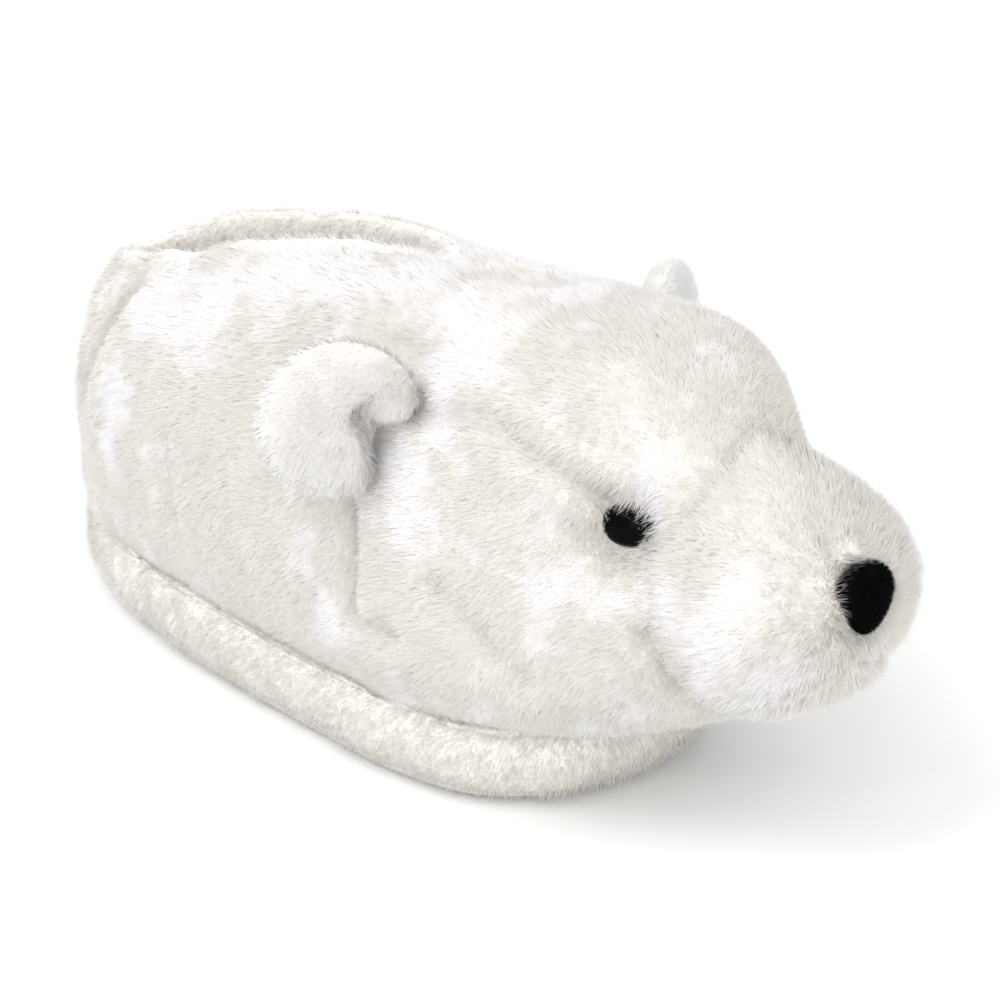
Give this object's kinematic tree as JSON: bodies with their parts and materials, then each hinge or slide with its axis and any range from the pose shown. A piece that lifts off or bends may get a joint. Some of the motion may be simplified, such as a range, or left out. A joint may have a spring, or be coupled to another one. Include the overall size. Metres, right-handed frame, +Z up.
{
  "type": "animal slipper",
  "caption": "Stuffed plush slipper shaped as a polar bear: padded body with a narrow collar for the foot, ears, recessed eyes, big muzzle, black nose, padded plush sole.",
  "frame": {"origin": "on the floor under the middle of the whole slipper", "axes": "+X from heel to nose, +Y to the inner side of the foot, +Z up"},
  "size_m": [0.3788, 0.2034, 0.1654],
  "materials": {
    "plush": "off-white short-pile plush, soft and matte",
    "sole_plush": "off-white short-pile plush over foam",
    "lining": "short fleece lining, matte",
    "grip_sheet": "woven cloth with small raised grip dots",
    "eye_black": "glossy black",
    "nose_black": "black velour, slightly glossy"
  },
  "bodies": {
    "root": {"outsole": "grip_sheet", "sole": "sole_plush", "insole": "lining", "upper": "plush", "muzzle": "plush", "ear_outer": "plush", "ear_inner": "plush", "eye_outer": "eye_black", "eye_inner": "eye_black", "nose": "nose_black"}
  },
  "joints": []
}
